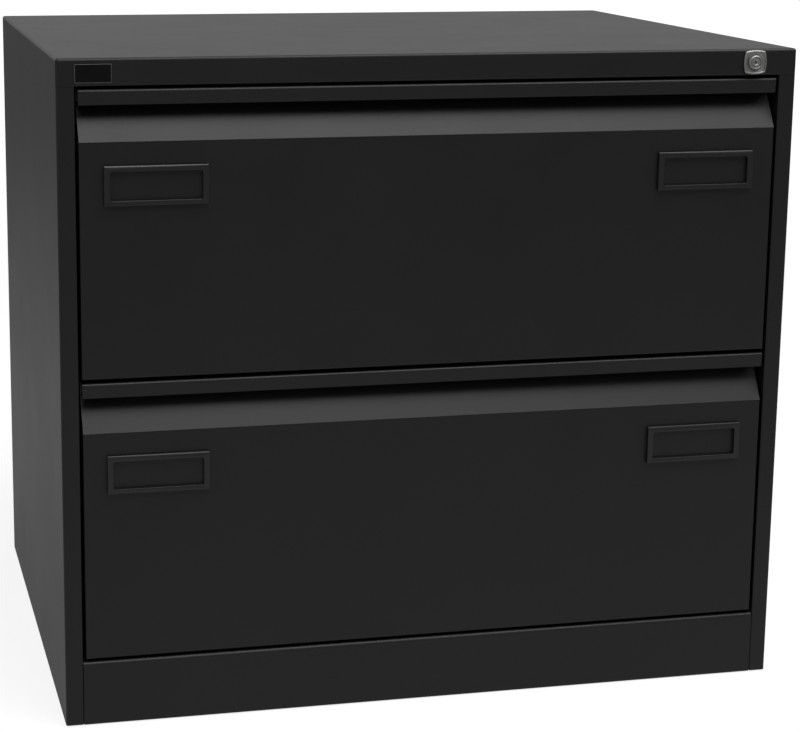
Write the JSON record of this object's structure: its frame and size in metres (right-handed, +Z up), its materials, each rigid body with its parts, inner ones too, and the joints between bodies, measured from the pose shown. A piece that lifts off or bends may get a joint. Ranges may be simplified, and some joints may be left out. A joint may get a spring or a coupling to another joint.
{
  "type": "filing cabinet",
  "caption": "Low wide black steel filing cabinet with lipped full-width pulls, label frames, telescopic ball slides, hanging-file rails and a corner lock that lifts a locking bar.",
  "frame": {"origin": "on the floor under the middle of the closed cabinet", "axes": "+Z up, drawers open towards -Y, +X to the right seen from the front"},
  "size_m": [0.8, 0.6266, 0.711],
  "materials": {
    "carcass_paint": "black semi-gloss powder coat",
    "drawer_paint": "black powder coat",
    "zinc_plate": "bright zinc plate",
    "lock_nickel": "nickel plate",
    "label_moulding": "black moulded frame",
    "foot_moulding": "black moulded pad"
  },
  "bodies": {
    "carcass": {"top_panel": "carcass_paint", "left_side_panel": "carcass_paint", "right_side_panel": "carcass_paint", "back_panel": "carcass_paint", "base_panel": "carcass_paint", "plinth": "carcass_paint", "front_left_post": "carcass_paint", "front_right_post": "carcass_paint", "rear_left_post": "carcass_paint", "rear_right_post": "carcass_paint", "lock_body": "lock_nickel", "lock_bar_guide": "zinc_plate", "lower_left_cabinet_rail": "zinc_plate", "lower_right_cabinet_rail": "zinc_plate", "upper_left_cabinet_rail": "zinc_plate", "upper_right_cabinet_rail": "zinc_plate"},
    "lock_cylinder": {"lock_plug": "lock_nickel", "lock_cam": "zinc_plate"},
    "lock_bar": {"lock_bar": "zinc_plate"},
    "front_left_foot": {"front_left_foot": "foot_moulding"},
    "front_right_foot": {"front_right_foot": "foot_moulding"},
    "rear_left_foot": {"rear_left_foot": "foot_moulding"},
    "rear_right_foot": {"rear_right_foot": "foot_moulding"},
    "lower_drawer": {"lower_drawer_front": "carcass_paint", "lower_drawer_inner_front": "drawer_paint", "lower_drawer_left_side": "drawer_paint", "lower_drawer_right_side": "drawer_paint", "lower_drawer_bottom": "drawer_paint", "lower_drawer_back": "drawer_paint", "lower_drawer_centre_rail": "drawer_paint", "lower_drawer_lock_lug": "zinc_plate", "lower_left_label_holder": "label_moulding", "lower_right_label_holder": "label_moulding", "lower_left_drawer_rail": "zinc_plate", "lower_right_drawer_rail": "zinc_plate"},
    "lower_middle_slides": {"lower_left_middle_rail": "zinc_plate", "lower_right_middle_rail": "zinc_plate"},
    "lower_outer_cages": {"lower_left_outer_cage": "zinc_plate", "lower_right_outer_cage": "zinc_plate"},
    "lower_inner_cages": {"lower_left_inner_cage": "zinc_plate", "lower_right_inner_cage": "zinc_plate"},
    "upper_drawer": {"upper_drawer_front": "carcass_paint", "upper_drawer_inner_front": "drawer_paint", "upper_drawer_left_side": "drawer_paint", "upper_drawer_right_side": "drawer_paint", "upper_drawer_bottom": "drawer_paint", "upper_drawer_back": "drawer_paint", "upper_drawer_centre_rail": "drawer_paint", "upper_drawer_lock_lug": "zinc_plate", "upper_left_label_holder": "label_moulding", "upper_right_label_holder": "label_moulding", "upper_left_drawer_rail": "zinc_plate", "upper_right_drawer_rail": "zinc_plate"},
    "upper_middle_slides": {"upper_left_middle_rail": "zinc_plate", "upper_right_middle_rail": "zinc_plate"},
    "upper_outer_cages": {"upper_left_outer_cage": "zinc_plate", "upper_right_outer_cage": "zinc_plate"},
    "upper_inner_cages": {"upper_left_inner_cage": "zinc_plate", "upper_right_inner_cage": "zinc_plate"}
  },
  "joints": [
    {"name": "lower_drawer_slide", "type": "slide", "parent": "carcass", "child": "lower_drawer", "axis": [0, -1, 0], "range_m": [0, 0.52]},
    {"name": "lower_middle_slides_slide", "type": "slide", "parent": "carcass", "child": "lower_middle_slides", "axis": [0, -1, 0], "range_m": [0, 0.26]},
    {"name": "lower_outer_cages_slide", "type": "slide", "parent": "carcass", "child": "lower_outer_cages", "axis": [0, -1, 0], "range_m": [0, 0.13]},
    {"name": "lower_inner_cages_slide", "type": "slide", "parent": "carcass", "child": "lower_inner_cages", "axis": [0, -1, 0], "range_m": [0, 0.39]},
    {"name": "upper_drawer_slide", "type": "slide", "parent": "carcass", "child": "upper_drawer", "axis": [0, -1, 0], "range_m": [0, 0.52]},
    {"name": "upper_middle_slides_slide", "type": "slide", "parent": "carcass", "child": "upper_middle_slides", "axis": [0, -1, 0], "range_m": [0, 0.26]},
    {"name": "upper_outer_cages_slide", "type": "slide", "parent": "carcass", "child": "upper_outer_cages", "axis": [0, -1, 0], "range_m": [0, 0.13]},
    {"name": "upper_inner_cages_slide", "type": "slide", "parent": "carcass", "child": "upper_inner_cages", "axis": [0, -1, 0], "range_m": [0, 0.39]},
    {"name": "lock_bar_lift", "type": "slide", "parent": "carcass", "child": "lock_bar", "axis": [0, 0, 1], "range_m": [0, 0.00848]},
    {"name": "lock_turn", "type": "hinge", "parent": "carcass", "child": "lock_cylinder", "pos_m": [0.3515, -0.3087, 0.69675], "axis": [0, -1, 0], "range_deg": [0, 90]},
    {"name": "front_left_foot_turn", "type": "hinge", "parent": "carcass", "child": "front_left_foot", "pos_m": [-0.34, -0.2467, 0], "axis": [0, 0, 1], "continuous": true},
    {"name": "front_right_foot_turn", "type": "hinge", "parent": "carcass", "child": "front_right_foot", "pos_m": [0.34, -0.2467, 0], "axis": [0, 0, 1], "continuous": true},
    {"name": "rear_left_foot_turn", "type": "hinge", "parent": "carcass", "child": "rear_left_foot", "pos_m": [-0.34, 0.2513, 0], "axis": [0, 0, 1], "continuous": true},
    {"name": "rear_right_foot_turn", "type": "hinge", "parent": "carcass", "child": "rear_right_foot", "pos_m": [0.34, 0.2513, 0], "axis": [0, 0, 1], "continuous": true}
  ],
  "couplings": [
    {"joint": "lower_middle_slides_slide", "follows": "lower_drawer_slide", "ratio": 0.5},
    {"joint": "lower_outer_cages_slide", "follows": "lower_drawer_slide", "ratio": 0.25},
    {"joint": "lower_inner_cages_slide", "follows": "lower_drawer_slide", "ratio": 0.75},
    {"joint": "upper_middle_slides_slide", "follows": "upper_drawer_slide", "ratio": 0.5},
    {"joint": "upper_outer_cages_slide", "follows": "upper_drawer_slide", "ratio": 0.25},
    {"joint": "upper_inner_cages_slide", "follows": "upper_drawer_slide", "ratio": 0.75},
    {"joint": "lock_turn", "follows": "lock_bar_lift", "rad_per_m": 185.12}
  ]
}
